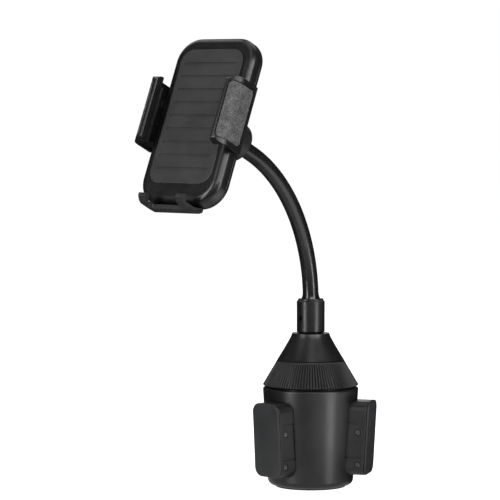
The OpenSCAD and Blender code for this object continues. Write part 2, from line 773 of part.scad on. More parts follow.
base_pad();
bottom_cover();
base_screws();
base_body();
spindle();
guide_plate();
guide_screws();
cone_cap();
collar();
collar_set_screw();
neck_ferrule();
scroll_disc();
dial_ring();
dial_screws();
foot_arm(0);  // foot_arm_1
foot_arm(1);  // foot_arm_2
foot_arm(2);  // foot_arm_3
foot_plate(0);  // foot_plate_1
foot_plate(1);  // foot_plate_2
foot_plate(2);  // foot_plate_3
foot_pad(0);  // foot_pad_1
foot_pad(1);  // foot_pad_2
foot_pad(2);  // foot_pad_3
foot_pin(0);  // foot_pin_1
foot_pin(1);  // foot_pin_2
foot_pin(2);  // foot_pin_3
foot_screws(0);  // foot_screws_1
foot_screws(1);  // foot_screws_2
foot_screws(2);  // foot_screws_3
neck_link(0);  // neck_link_1
neck_link(1);  // neck_link_2
neck_link(2);  // neck_link_3
neck_link(3);  // neck_link_4
neck_link(4);  // neck_link_5
neck_link(5);  // neck_link_6
neck_link(6);  // neck_link_7
neck_link(7);  // neck_link_8
ball_stud();
ball_washer();
ball_collet();
ball_nut();
ball_socket();
socket_screws();
front_case();
rear_case();
case_screws();
cradle_pad();
pinion();
pinion_pin();
arm_right();
arm_left();
arm_inlay_right();
arm_inlay_left();
arm_pad_right();
arm_pad_left();
release_button();
button_spring();
bottom_support();
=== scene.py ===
"""A car phone mount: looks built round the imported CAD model. Lengths are in mm until a mesh is
made, and in metres from there on."""

import json
import math

import bmesh
import bpy
from mathutils import Matrix, Vector, noise


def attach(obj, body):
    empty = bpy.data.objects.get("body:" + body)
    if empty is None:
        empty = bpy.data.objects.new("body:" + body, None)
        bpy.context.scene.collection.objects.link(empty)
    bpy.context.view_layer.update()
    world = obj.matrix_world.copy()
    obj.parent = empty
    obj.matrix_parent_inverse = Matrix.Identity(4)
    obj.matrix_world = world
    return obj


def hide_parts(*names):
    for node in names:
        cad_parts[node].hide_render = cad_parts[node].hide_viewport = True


MM = 0.001
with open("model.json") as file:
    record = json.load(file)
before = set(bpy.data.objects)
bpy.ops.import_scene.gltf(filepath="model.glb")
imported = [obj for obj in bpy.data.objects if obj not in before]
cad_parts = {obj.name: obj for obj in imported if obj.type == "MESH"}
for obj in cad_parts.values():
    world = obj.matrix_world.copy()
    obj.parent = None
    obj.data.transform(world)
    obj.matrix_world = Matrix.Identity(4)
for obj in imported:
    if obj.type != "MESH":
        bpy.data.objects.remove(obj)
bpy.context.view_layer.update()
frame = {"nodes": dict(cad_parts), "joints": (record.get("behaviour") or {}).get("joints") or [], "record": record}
joints = {j["name"]: j for j in frame["joints"]}


# ---------- frames ----------

# the cradle's frame leans back; its Y runs from the phone's back to the ball, BALL_DEPTH on
LEAN = math.radians(24.05)
BALL_DEPTH = 41.0
BALL = Vector(joints["cradle_spin"]["pos_m"])
ROW = Matrix.Scale(MM, 4)
CRADLE = (
    Matrix.Translation(BALL)
    @ Matrix.Rotation(-LEAN, 4, "X")
    @ Matrix.Translation((0, -BALL_DEPTH * MM, 0))
    @ ROW
)
HALF_TURN = Matrix.Rotation(math.pi, 4, "Y")  # takes the right arm to the left one
FOOT_TURNS = [
    math.atan2(joints[f"foot_slide_{i}"]["axis"][1], joints[f"foot_slide_{i}"]["axis"][0])
    for i in (1, 2, 3)
]


def turned(angle):
    """The frame in mm, turned about the base's axis."""
    return ROW @ Matrix.Rotation(angle, 4, "Z")


# ---------- outlines ----------

def arc(cx, cy, r, start, end, steps):
    """Points on an arc, angles in degrees."""
    return [
        (
            cx + r * math.cos(math.radians(start + (end - start) * k / steps)),
            cy + r * math.sin(math.radians(start + (end - start) * k / steps)),
        )
        for k in range(steps + 1)
    ]


def circle(cx, cy, r):
    """A circle of 24 points."""
    return arc(cx, cy, r, 0, 345, 23)


def rounded(corners, steps=5):
    """A polygon of (x, y) or (x, y, radius) corners, with the round ones as arcs."""
    out = []
    count = len(corners)
    for i, corner in enumerate(corners):
        p = Vector(corner[:2])
        r = corner[2] if len(corner) > 2 else 0
        if r <= 0:
            out.append(tuple(p))
            continue
        a = (Vector(corners[i - 1][:2]) - p).normalized()
        b = (Vector(corners[(i + 1) % count][:2]) - p).normalized()
        half = a.angle(b) / 2
        centre = p + (a + b).normalized() * (r / math.sin(half))
        first = p + a * (r / math.tan(half)) - centre
        last = p + b * (r / math.tan(half)) - centre
        start = math.atan2(first.y, first.x)
        sweep = (math.atan2(last.y, last.x) - start + math.pi) % math.tau - math.pi
        for k in range(steps + 1):
            t = start + sweep * k / steps
            out.append((centre.x + r * math.cos(t), centre.y + r * math.sin(t)))
    return out


def rounded_rect(w, h, r, inset=0.0, steps=10):
    """Outline of a rectangle with round corners, the same number of points at any inset."""
    least_radius = 0.02
    hw, hh, r = w / 2 - inset, h / 2 - inset, max(r - inset, least_radius)
    out = []
    for sx, sy, a in ((1, 1, 0), (-1, 1, 90), (-1, -1, 180), (1, -1, 270)):
        out += arc(sx * (hw - r), sy * (hh - r), r, a, a + 90, steps)
    return out


def smooth_curve(points, steps=4):
    """Catmull-Rom curve through points."""
    pts = [Vector(p) for p in points]
    pts = [2 * pts[0] - pts[1]] + pts + [2 * pts[-1] - pts[-2]]
    out = []
    for i in range(1, len(pts) - 2):
        a, b, c, d = pts[i - 1 : i + 3]
        for k in range(steps):
            t = k / steps
            p = 0.5 * (
                2 * b
                + (c - a) * t
                + (2 * a - 5 * b + 4 * c - d) * t * t
                + (3 * b - a - 3 * c + d) * t ** 3
            )
            out.append(tuple(p))
    return out + [tuple(pts[-2])]


# ---------- meshes ----------

def raw_mesh(name, verts, faces, place):
    """An object from points in mm in the frame place."""
    mesh = bpy.data.meshes.new(name)
    mesh.from_pydata([place @ Vector(v) for v in verts], [], faces)
    bm = bmesh.new()
    bm.from_mesh(mesh)
    bmesh.ops.remove_doubles(bm, verts=bm.verts, dist=1e-7)
    bmesh.ops.recalc_face_normals(bm, faces=bm.faces)
    bm.to_mesh(mesh)
    bm.free()
    obj = bpy.data.objects.new(name, mesh)
    bpy.context.scene.collection.objects.link(obj)
    return obj


def loft(name, rings, place, loop=False):
    """Joins rings of points. A loop closes on its first ring; otherwise both ends are capped."""
    n = len(rings[0])
    verts = [p for ring in rings for p in ring]
    faces = []
    for i in range(len(rings) if loop else len(rings) - 1):
        a, b = i * n, (i + 1) % len(rings) * n
        faces += [(a + k, a + (k + 1) % n, b + (k + 1) % n, b + k) for k in range(n)]
    if not loop:
        faces += [tuple(range(n)), tuple(range(len(verts) - 1, len(verts) - 1 - n, -1))]
    return raw_mesh(name, verts, faces, place)


def lathe(name, profile, place, segments=128, ripple=None):
    """Turns a closed profile of (radius, height) round Z. ripple(angle, radius, height) is
    added to the radius."""
    rings = []
    for k in range(segments):
        a = math.tau * k / segments
        ring = []
        for r, z in profile:
            reach = r + (ripple(a, r, z) if ripple else 0)
            ring.append((reach * math.cos(a), reach * math.sin(a), z))
        rings.append(ring)
    return loft(name, rings, place, loop=True)


def prism(name, outline, low, high, place, axis="Z"):
    """A solid with the same outline from low to high along an axis. An outline along X is
    in (y, z), along Y in (x, z) and along Z in (x, y)."""
    def at(p, d):
        return {"X": (d, p[0], p[1]), "Y": (p[0], d, p[1]), "Z": (p[0], p[1], d)}[axis]
    return loft(name, [[at(p, d) for p in outline] for d in (low, high)], place)


def apply_modifiers(obj):
    """Makes the modified mesh the object's own."""
    graph = bpy.context.evaluated_depsgraph_get()
    mesh = bpy.data.meshes.new_from_object(obj.evaluated_get(graph))
    old = obj.data
    obj.modifiers.clear()
    obj.data = mesh
    bpy.data.meshes.remove(old)


def boolean(obj, others, operation="DIFFERENCE"):
    """Cuts, joins or trims obj with each of the others, and removes them."""
    for other in others:
        mod = obj.modifiers.new("bool", "BOOLEAN")
        mod.operation = operation
        mod.solver = "EXACT"
        mod.object = other
        apply_modifiers(obj)
        mesh = other.data
        bpy.data.objects.remove(other)
        bpy.data.meshes.remove(mesh)


def bevel(obj, width, segments=3, angle=35):
    """Rounds the edges that turn by more than angle. width is in mm."""
    mod = obj.modifiers.new("bevel", "BEVEL")
    mod.width = width * MM
    mod.segments = segments
    mod.limit_method = "ANGLE"
    mod.angle_limit = math.radians(angle)
    mod.miter_outer = "MITER_ARC"
    mod.use_clamp_overlap = True
    apply_modifiers(obj)


def shade(obj, angle=38):
    """Smooth shading, split where faces meet at more than angle, with flat faces kept flat."""
    for poly in obj.data.polygons:
        poly.use_smooth = True
    obj.data.set_sharp_from_angle(angle=math.radians(angle))
    mod = obj.modifiers.new("normals", "WEIGHTED_NORMAL")
    mod.mode = "FACE_AREA_WITH_ANGLE"
    mod.keep_sharp = True
    apply_modifiers(obj)


# ---------- materials ----------

NOISE_LOW, NOISE_HIGH = 0.3, 0.7


def new_material(name):
    """A material with its node tree and its shader."""
    mat = bpy.data.materials.new(name)
    mat.use_nodes = True
    return mat, mat.node_tree, mat.node_tree.nodes["Principled BSDF"]


def add(tree, kind, **sockets):
    """A new node with some of its sockets set."""
    node = tree.nodes.new(kind)
    for key, value in sockets.items():
        node.inputs[key.replace("_", " ")].default_value = value
    return node


def coordinates(tree, uv):
    """Where a texture reads its place, in metres: on the mesh's unrolled skin or in space."""
    node = tree.nodes.new("ShaderNodeTexCoord")
    return node.outputs["UV" if uv else "Object"]


def tone(tree, source, low, high, socket):
    """Maps a noise texture onto a range of values."""
    node = add(tree, "ShaderNodeMapRange", From_Min=NOISE_LOW, From_Max=NOISE_HIGH,
               To_Min=low, To_Max=high)
    tree.links.new(source, node.inputs["Value"])
    tree.links.new(node.outputs["Result"], socket)


def blend_colours(tree, source, dark, light, socket):
    """Maps a noise texture onto the colours between dark and light."""
    ramp = tree.nodes.new("ShaderNodeValToRGB")
    stops = ramp.color_ramp.elements
    for stop, place, colour in zip(stops, (NOISE_LOW, NOISE_HIGH), (dark, light)):
        stop.position = place
        stop.color = (*colour, 1)
    tree.links.new(source, ramp.inputs["Fac"])
    tree.links.new(ramp.outputs["Color"], socket)


def moulded(name, colour, rough, grain, depth, spread=0.3, uv=False, metallic=0.0):
    """Moulded plastic, rubber or metal. grain is the size of its surface texture in mm and
    depth how deep that is in mm. Colour drifts over the surface by the share spread, and
    roughness by a little. uv takes the texture from the mesh's own coordinates."""
    mat, tree, shader = new_material(name)
    where = coordinates(tree, uv)
    shader.inputs["Metallic"].default_value = metallic
    patches = add(tree, "ShaderNodeTexNoise", Scale=70.0, Detail=3.0, Roughness=0.6)
    tree.links.new(where, patches.inputs["Vector"])
    fine = add(tree, "ShaderNodeTexNoise", Scale=1 / (grain * MM), Detail=2.0, Roughness=0.5)
    tree.links.new(where, fine.inputs["Vector"])
    pits = add(tree, "ShaderNodeTexVoronoi", Scale=0.8 / (grain * MM))
    tree.links.new(where, pits.inputs["Vector"])
    both = tree.nodes.new("ShaderNodeMath")
    both.operation = "ADD"
    tree.links.new(fine.outputs["Fac"], both.inputs[0])
    tree.links.new(pits.outputs["Distance"], both.inputs[1])
    bump = add(tree, "ShaderNodeBump", Strength=0.5, Distance=depth * MM)
    tree.links.new(both.outputs[0], bump.inputs["Height"])
    tree.links.new(bump.outputs["Normal"], shader.inputs["Normal"])
    dark = [c * (1 - spread) for c in colour]
    light = [c * (1 + spread) for c in colour]
    blend_colours(tree, patches.outputs["Fac"], dark, light, shader.inputs["Base Color"])
    drift = 0.04
    tone(tree, patches.outputs["Fac"], rough - drift, rough + drift,
         shader.inputs["Roughness"])
    return mat


def leather_material(name):
    """Black leather grain: dark creases round small cells, and a finer grain on each cell. Its colour is a grey
    well above the leather's black, a painted sheen.
    """
    mat, tree, shader = new_material(name)
    where = coordinates(tree, False)
    cells = add(tree, "ShaderNodeTexVoronoi", Scale=820.0)
    cells.feature = "DISTANCE_TO_EDGE"
    tree.links.new(where, cells.inputs["Vector"])
    fine = add(tree, "ShaderNodeTexNoise", Scale=3800.0, Detail=3.0)
    tree.links.new(where, fine.inputs["Vector"])
    total = tree.nodes.new("ShaderNodeMath")
    total.operation = "MULTIPLY_ADD"
    total.inputs[1].default_value = 0.35
    tree.links.new(fine.outputs["Fac"], total.inputs[0])
    tree.links.new(cells.outputs["Distance"], total.inputs[2])
    bump = add(tree, "ShaderNodeBump", Strength=0.9, Distance=0.35 * MM)
    tree.links.new(total.outputs[0], bump.inputs["Height"])
    tree.links.new(bump.outputs["Normal"], shader.inputs["Normal"])
    patches = add(tree, "ShaderNodeTexNoise", Scale=260.0, Detail=4.0)
    tree.links.new(where, patches.inputs["Vector"])
    # painted sheen: the random patches run from a dark grey to a mid grey, well above the black of the leather, so
    # the whole inlay reads as lit
    blend_colours(
        tree, patches.outputs["Fac"], (0.03, 0.03, 0.031), (0.075, 0.075, 0.077),
        shader.inputs["Base Color"],
    )
    tone(tree, fine.outputs["Fac"], 0.32, 0.46, shader.inputs["Roughness"])
    return mat


BLACK = (0.005, 0.005, 0.0053)
MATERIALS = {
    "base_plastic": moulded("base_plastic", BLACK, 0.36, 0.22, 0.018),
    "dial_plastic": moulded("dial_plastic", BLACK, 0.36, 0.22, 0.02),
    "foot_plastic": moulded("foot_plastic", BLACK, 0.36, 0.25, 0.02),
    "hidden_plastic": moulded("hidden_plastic", (0.03, 0.03, 0.032), 0.5, 0.3, 0.02),
    "foot_rubber": moulded("foot_rubber", (0.01, 0.0105, 0.0115), 0.6, 0.3, 0.05),
    "grip_rubber": moulded("grip_rubber", (0.018, 0.018, 0.019), 0.7, 0.3, 0.05),
    "dark_screws": moulded("dark_screws", (0.14, 0.135, 0.13), 0.3, 0.15, 0.01,
                           metallic=1.0),
    "plain_steel": moulded("plain_steel", (0.5, 0.5, 0.51), 0.3, 0.2, 0.01,
                           metallic=1.0),
    "gooseneck_core": moulded("gooseneck_core", (0.04, 0.04, 0.042), 0.4, 0.3, 0.01),
    "neck_sleeve": moulded("neck_sleeve", (0.006, 0.006, 0.0065), 0.25, 0.5, 0.002,
                           uv=True),
    "nut_plastic": moulded("nut_plastic", BLACK, 0.5, 0.22, 0.03),
    "case_plastic": moulded("case_plastic", (0.005, 0.005, 0.0055), 0.34, 0.25, 0.004),
    "arm_plastic": moulded("arm_plastic", BLACK, 0.36, 0.22, 0.025),
    "inlay": leather_material("inlay"),
    "gear_plastic": moulded("gear_plastic", (0.35, 0.34, 0.31), 0.45, 0.3, 0.01,
                            spread=0.08),
    "button_plastic": moulded("button_plastic", (0.03, 0.03, 0.032), 0.45, 0.22, 0.02),
    "support_plastic": moulded("support_plastic", (0.009, 0.009, 0.0095), 0.52, 0.25,
                               0.045),
}


def finish_piece(obj, slot, body, replaces=(), angle=38):
    """Shading, material, body and stand-ins of a finished piece."""
    shade(obj, angle)
    obj.data.materials.clear()
    obj.data.materials.append(MATERIALS[slot])
    if replaces:
        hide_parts(*replaces)
    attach(obj, body)


# ---------- base ----------

def base_shell():
    """Tapered cup with a rounded rim, three windows for the feet and a hatch in its floor."""
    profile = (
        [(24.0, 1.2)]
        + arc(24.6, 5.2, 4.0, -90, -2, 10)
        + [(28.95, 11.5), (30.2, 35.0), (31.0, 50.0)]
        + arc(30.5, 65.2, 1.4, 3, 90, 7)
        + [(29.5, 66.6), (26.1, 5.0), (20.0, 5.0), (20.0, 3.2), (24.0, 3.2)]
    )
    body = lathe("base_shell", profile, ROW, segments=192)
    window = rounded_rect(24.7, 49.6, 6.25, steps=8)
    cutters = [
        prism("window", window, 12, 44, turned(t) @ Matrix.Translation((0, 0, 33.85)),
              axis="X")
        for t in FOOT_TURNS
    ]
    boolean(body, cutters)
    bevel(body, 0.3, segments=2, angle=50)
    finish_piece(body, "base_plastic", "base", ["base_body"])


def cone_cap():
    """Smooth cone that flares in to a flat disc."""
    flank = smooth_curve(
        [(22.1, 85.2), (20.71, 87.3), (18.37, 91.2), (16.03, 95.2), (13.8, 99.2),
         (12.78, 101.4)]
    )
    profile = (
        [(19.4, 85.2)] + flank + arc(12.1, 102.3, 0.4, 20, 90, 4)
        + [(4.55, 102.7), (4.55, 67.2), (8.0, 67.2), (8.0, 97.0), (11.0, 98.0)]
    )
    cap = lathe("smooth_cap", profile, ROW, segments=160)
    finish_piece(cap, "base_plastic", "base", ["cone_cap"])


def collar():
    """Chamfered sleeve clamp with a recess for its set screw."""
    profile = rounded(
        [(4.55, 102.7), (8.25, 102.7, 0.25), (9.35, 103.8, 0.4), (9.35, 124.0, 0.4),
         (8.45, 124.5, 0.2), (8.45, 125.6, 0.3), (6.0, 125.6), (6.0, 107.6),
         (4.55, 107.6)]
    )
    ring = lathe("neck_collar", profile, ROW, segments=96)
    spot = turned(math.radians(-105)) @ Matrix.Translation((0, 0, 112.5))
    hole = prism("hole", circle(0, 0, 2.6), 7.0, 12.0, spot, axis="X")
    boolean(ring, [hole])
    bevel(ring, 0.2, segments=2, angle=50)
    finish_piece(ring, "base_plastic", "base", ["collar"])


RIBS, RIB_DEPTH = 96, 0.85
GROOVE = 0.22  # half a groove's width, as a share of the ribs' spacing
RIB_END, RIB_FADE = 0.955, 0.045  # as shares of the cone's length


def dial():
    """Grip ring: flat-topped ribs with narrow grooves run up its cone and stop just below
    the seam."""
    widest = 31.9
    low, high = Vector((widest, 68.3)), Vector((22.2, 84.8))
    stops = (0.0, 0.015, 0.05, 0.3, 0.6, 0.86, 0.9, 0.93, 0.96, 0.985)
    flank = [tuple(low.lerp(high, s)) for s in stops] + [(22.22, 84.72), (22.1, 84.8)]
    inner = (27.2, 70.6)
    profile = (
        [(6.0, 64.5), (28.8, 64.5), (28.8, 67.0), (30.2, 67.0), (31.4, 67.85)]
        + flank + [(19.3, 84.8), inner, (25.5, 66.9), (6.0, 66.9)]
    )

    def ripple(a, r, z):
        """Depth of the grooves on the cone, and nothing on the ring's other sides."""
        s = (z - low.y) / (high.y - low.y)
        if r < 22.3 or z < 67.8 or s > 0.97 or (r, z) == inner:
            return 0.0
        fade = min(max((RIB_END - s) / RIB_FADE, 0.0), 1.0)
        groove = max(1 - abs(RIBS * a / math.tau % 1 - 0.5) / GROOVE, 0)
        return -RIB_DEPTH * groove * fade * (0.75 + 0.25 * r / widest)

    ring = lathe("ribbed_dial", profile, ROW, segments=RIBS * 10, ripple=ripple)
    finish_piece(ring, "dial_plastic", "dial", ["dial_ring"], angle=60)


# ---------- feet ----------

FOOT_Z, FOOT_W, FOOT_H, FOOT_R = 9.3, 24.2, 49.1, 6.0
FOOT_TOP = FOOT_Z + FOOT_H
REACH, SLOPE = 43.1, math.radians(3.2)
PAD_T, PAD_GAP = 1.4, 0.05
FRAME_START, FRAME_WALL = 15.8, 2.2


def foot_face(turn):
    """The frame of a foot's sloping outer face."""
    return (
        turned(turn)
        @ Matrix.Translation((REACH, 0, FOOT_TOP))
        @ Matrix.Rotation(SLOPE, 4, "Y")
        @ Matrix.Translation((0, 0, -FOOT_H / 2))
    )


def round_edge(x, r, steps):
    """Layers (x, inset) of a rounded edge that ends at x."""
    return [
        (x - r * (1 - math.sin(math.radians(90 * k / steps))),
         r * (1 - math.cos(math.radians(90 * k / steps))))
        for k in range(steps + 1)
    ]


def foot_outline(inset):
    """A foot's outline across its reach."""
    return rounded_rect(FOOT_W, FOOT_H, FOOT_R, inset)


def foot_pad(number, turn):
    """Rubber pad with a soft rim and a dark gap behind it."""
    layers = (
        [(-PAD_T, 0.9), (-1.2, 0.9), (-1.05, 0.3), (-0.85, 0.0)]
        + round_edge(-0.06, 0.85, 6)
        + [(0.0, 1.6)]
    )
    rings = [[(x, p, q) for p, q in foot_outline(inset)] for x, inset in layers]
    pad = loft(f"rubber_pad_{number}", rings, foot_face(turn))
    finish_piece(pad, "foot_rubber", f"foot_{number}", [f"foot_pad_{number}"], angle=50)


def foot_frame(number, turn):
    """Hard tube that the base's window guides, with a sloping end behind the pad."""
    def upright(inset):
        return [(FRAME_START, p, q) for p, q in foot_outline(inset)]

    def sloping(x, inset):
        return [(REACH + x + math.tan(SLOPE) * (q - FOOT_H / 2), p, q)
                for p, q in foot_outline(inset)]

    end = -PAD_T - PAD_GAP
    rings = (
        [upright(0.0)]
        + [sloping(x, inset) for x, inset in round_edge(end, 0.45, 4)]
        + [sloping(end, FRAME_WALL), upright(FRAME_WALL)]
    )
    level = turned(turn) @ Matrix.Translation((0, 0, FOOT_Z + FOOT_H / 2))
    shell = loft(f"foot_frame_{number}", rings, level, loop=True)
    cutters = []
    for side in (-1, 1):
        y = side * FOOT_W / 2
        # shallow panel with a line above and below it
        for z0, z1, depth in ((-12.75, -11.85, 0.7), (10.6, 11.5, 0.7), (-12.3, 11.05, 0.3)):
            lo, hi = sorted((y - side * depth, y + side * 0.4))
            cutters.append(prism("panel", [(lo, z0), (hi, z0), (hi, z1), (lo, z1)],
                                 24.0, 37.4, level, axis="X"))
        for z in (-17.2, 4.4):
            lo, hi = sorted((y - side * 1.5, y + side))
            cutters.append(prism("screw", circle(35.2, z, 2.1), lo, hi, level, axis="Y"))
    boolean(shell, cutters)
    bevel(shell, 0.12, segments=2, angle=55)
    finish_piece(shell, "foot_plastic", f"foot_{number}", [f"foot_arm_{number}"])


# ---------- gooseneck ----------

BEND_Z, BEND_R, NECK_END = 124.0, 109.0, 27.3
BEND = math.pi / 2 - LEAN
ARC_LEN = BEND_R * BEND
FIRST_PIVOT, PIVOTS = 7.0, 9
STEP = (ARC_LEN - FIRST_PIVOT) / (PIVOTS - 1)
SLEEVE_R = 5.3
SLEEVE_START, SLEEVE_END = 1.6, ARC_LEN + NECK_END - 8.2
FLARE, FLARE_LEN = 0.9, 5.0


def neck_at(s):
    """Point on the gooseneck's middle line and its direction, s mm from where it bends."""
    a = min(s / BEND_R, BEND)
    rest = max(s - ARC_LEN, 0)
    p = Vector((
        0,
        -BEND_R * (1 - math.cos(a)) - rest * math.sin(a),
        BEND_Z + BEND_R * math.sin(a) + rest * math.cos(a),
    ))
    return p, Vector((0, -math.sin(a), math.cos(a)))


def sleeve_radius(s):
    """The sleeve flares where it leaves the collar."""
    t = max(0.0, 1 - (s - SLEEVE_START) / FLARE_LEN)
    return SLEEVE_R + FLARE * t ** 2.2


def sleeve_rings(s0, s1, ball):
    """Rings (s, distance beyond s, radius) of a stretch, with half a ball at s1 if asked."""
    count = max(4, round((s1 - s0) / 1.2))
    rings = []
    for j in range(count + 1):
        s = s0 + (s1 - s0) * j / count
        rings.append((s, 0.0, sleeve_radius(s)))
    if ball:
        steps = 8
        for j in range(1, steps):
            a = 0.5 * math.pi * j / steps
            rings.append((s1, SLEEVE_R * math.sin(a), SLEEVE_R * math.cos(a)))
    return rings


def sleeve_mesh(name, rings):
    """A closed tube through the rings, with texture coordinates round and along it."""
    around = 48
    verts, faces, uvs = [], [], []
    for s, beyond, r in rings:
        p, along = neck_at(s)
        up = Vector((1, 0, 0)).cross(along)
        for j in range(around):
            a = math.tau * j / around
            side = Vector((1, 0, 0)) * math.sin(a) + up * math.cos(a)
            verts.append(p + along * beyond + side * r)
            uvs.append((a * SLEEVE_R * MM, (s + beyond) * MM))
    for i in range(len(rings) - 1):
        for j in range(around):
            j2 = (j + 1) % around
            a, b = i * around, (i + 1) * around
            faces.append((a + j, a + j2, b + j2, b + j))
    last = (len(rings) - 1) * around
    faces.append(tuple(reversed(range(around))))
    faces.append(tuple(range(last, last + around)))
    mesh = bpy.data.meshes.new(name)
    mesh.from_pydata([ROW @ v for v in verts], [], faces)
    layer = mesh.uv_layers.new(name="UVMap")
    turn = math.tau * SLEEVE_R * MM
    for poly in mesh.polygons:
        poly.use_smooth = True
        loops = list(poly.loop_indices)
        corners = [uvs[mesh.loops[index].vertex_index] for index in loops]
        # a face over the joint of the texture takes its first corners one turn on
        over = max(u for u, v in corners) > turn / 2
        for index, (u, v) in zip(loops, corners):
            layer.data[index].uv = (u + turn if over and u < turn / 4 else u, v)
    mesh.set_sharp_from_angle(angle=math.radians(60))
    return mesh


def sleeve():
    """The smooth sleeve in ten stretches, one on each body of the gooseneck. Each ends in a
    half ball centred on the next pivot, so that the sleeve stays closed when it bends."""
    ends = (
        [SLEEVE_START] + [FIRST_PIVOT + STEP * k for k in range(PIVOTS)] + [SLEEVE_END]
    )
    bodies = ["base"] + [f"neck_{k}" for k in range(1, PIVOTS)] + ["neck_tip"]
    for k, body in enumerate(bodies):
        name = f"sleeve_{k + 1}"
        mesh = sleeve_mesh(name, sleeve_rings(ends[k], ends[k + 1], ball=k < PIVOTS))
        mesh.materials.append(MATERIALS["neck_sleeve"])
        obj = bpy.data.objects.new(name, mesh)
        bpy.context.scene.collection.objects.link(obj)
        if 0 < k < PIVOTS:
            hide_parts(f"neck_link_{k}")
        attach(obj, body)


# ---------- ball joint ----------

def nut():
    """Clamping nut round the ball, with rounded rims."""
    profile = rounded(
        [(11.0, -11.5), (12.6, -11.5, 0.4), (13.2, -10.8, 0.5), (13.2, 11.0, 2.0),
         (11.3, 11.0, 0.3), (7.9, 4.7), (11.0, 4.7)], steps=7
    )
    place = CRADLE @ Matrix.Translation((0, BALL_DEPTH, 0)) @ Matrix.Rotation(
        -math.pi / 2, 4, "X")
    ring = lathe("clamp_nut", profile, place, segments=128)
    finish_piece(ring, "nut_plastic", "nut", ["ball_nut"])


# ---------- cradle ----------

CASE_W, CASE_H, CASE_R, CASE_MID = 63.5, 114.0, 16.6, -1.8
CASE_FRONT, CASE_SEAM, CASE_BACK = 8.0, 17.4, 22.0
CASE_WALL, SEAM_GAP, SEAM_EDGE = 2.6, 0.05, 0.3
SCREW_SPOTS = [(-24, -43), (24, -43), (-24, 43), (24, 43)]


def case_rings(layers):
    """Outlines of the case from layers (y, inset)."""
    return [
        [(p, y, q + CASE_MID)
         for p, q in rounded_rect(CASE_W, CASE_H, CASE_R, inset, steps=14)]
        for y, inset in layers
    ]


def bar_slots():
    """Cutters for the slots that the arms' bars slide in."""
    cutters = []
    for side in (-1, 1):
        for z0, z1 in ((-12.3, -6.9), (16.2, 20.8)):
            lo, hi = sorted((side * z0, side * z1))
            box = [(10.5, lo), (14.5, lo), (14.5, hi), (10.5, hi)]
            x0, x1 = sorted((side * 20.0, side * 40.0))
            cutters.append(prism("slot", box, x0, x1, CRADLE, axis="X"))
    return cutters


def case_halves():
    """Front and rear halves with rounded edges, and a seam between them."""
    front_r, back_r = 5.0, 4.5
    turns = [math.radians(11.25 * k) for k in range(9)]
    edge = CASE_SEAM - SEAM_GAP
    front_layers = (
        [(CASE_FRONT + front_r * (1 - math.sin(t)), front_r * (1 - math.cos(t)))
         for t in reversed(turns)]
        + [(edge - SEAM_EDGE, 0.0), (edge, SEAM_EDGE), (edge, CASE_WALL)]
        + [(11.5, CASE_WALL), (10.0, 6.0)]
    )
    front = loft("case_front", case_rings(front_layers), CRADLE)
    slot = [(-12.3, -60), (12.3, -60), (12.3, -50.5), (-12.3, -50.5)]
    boolean(front, bar_slots() + [prism("tongue", slot, 14.7, 19, CRADLE, axis="Y")])
    finish_piece(front, "case_plastic", "cradle", ["front_case"])

    edge = CASE_SEAM + SEAM_GAP
    rear_layers = (
        [(20.0, 5.5), (18.2, CASE_WALL), (edge, CASE_WALL), (edge, SEAM_EDGE),
         (edge + SEAM_EDGE, 0.0)]
        + [(CASE_BACK - back_r * (1 - math.sin(t)), back_r * (1 - math.cos(t)))
           for t in turns]
    )
    rear = loft("case_rear", case_rings(rear_layers), CRADLE)
    window = [(p, q + 26) for p, q in rounded_rect(14.4, 10.4, 2.0, steps=5)]
    cutters = [prism("window", window, 18, 23, CRADLE, axis="Y")]
    for x, z in SCREW_SPOTS:
        cutters.append(prism("spot", circle(x, z, 2.3), 20.7, 23, CRADLE, axis="Y"))
    boolean(rear, cutters)
    bevel(rear, 0.2, segments=2, angle=50)
    finish_piece(rear, "case_plastic", "cradle", ["rear_case"])


def cradle_mat():
    """Rubber sheet with soft cross grooves that the phone's back lies on."""
    rings = [
        [(p, y, q) for p, q in rounded_rect(50, 92, 9, inset, steps=10)]
        for y, inset in [(8.0, 0.0), (7.45, 0.0), (7.2, 0.12), (7.05, 0.4), (7.0, 0.8)]
    ]
    mat = loft("rubber_mat", rings, CRADLE)
    cutters = []
    spacing = 9
    for k in range(-4, 5):
        outline = [(p, q + spacing * k) for p, q in rounded_rect(42, 1.6, 0.78, steps=6)]
        cutters.append(prism("groove", outline, 6.5, 7.6, CRADLE, axis="Y"))
    boolean(mat, cutters)
    bevel(mat, 0.15, segments=2, angle=50)
    finish_piece(mat, "grip_rubber", "cradle", ["cradle_pad"])


ARM_X, LIP_X, TURN_R, ARM_H = 36.7, 27.7, 9.0, 45.0
TURN_Y, ARM_WALL, ARM_BACK = 2, 2.2, 15.0


def arm_section():
    """Outline of an arm in X and Y: lip, round turn and flat side."""
    turn = [p for p in arc(LIP_X, TURN_Y, TURN_R, -90, 0, 18) if p[0] > LIP_X + 1.3]
    inside = ARM_X - ARM_WALL
    return rounded(
        [(LIP_X, -0.6, 0.4), (LIP_X, -7.0, 1.2)] + turn
        + [(ARM_X, ARM_BACK), (inside, ARM_BACK), (inside, -0.6, 0.8)])


def skin(u):
    """Point and outward normal on the arm's outer skin, u mm from where its turn meets its
    side: negative round the turn and positive along the side."""
    if u < 0:
        a = u / TURN_R
        n = Vector((math.cos(a), math.sin(a)))
        return Vector((LIP_X, TURN_Y)) + n * TURN_R, n
    return Vector((ARM_X, TURN_Y + u)), Vector((1, 0))


INLAY_U0, INLAY_U1 = -TURN_R * math.radians(70), 10.6
INLAY_HALF, INLAY_R = 19.0, 3.0


def inlay_limits(z, grow):
    """How far the inlay reaches along the skin at height z, with round corners."""
    over = max(abs(z) - (INLAY_HALF - INLAY_R), 0)
    r = INLAY_R + grow
    cut = r - math.sqrt(max(r * r - over * over, 0))
    return INLAY_U0 - grow + cut, INLAY_U1 + grow - cut


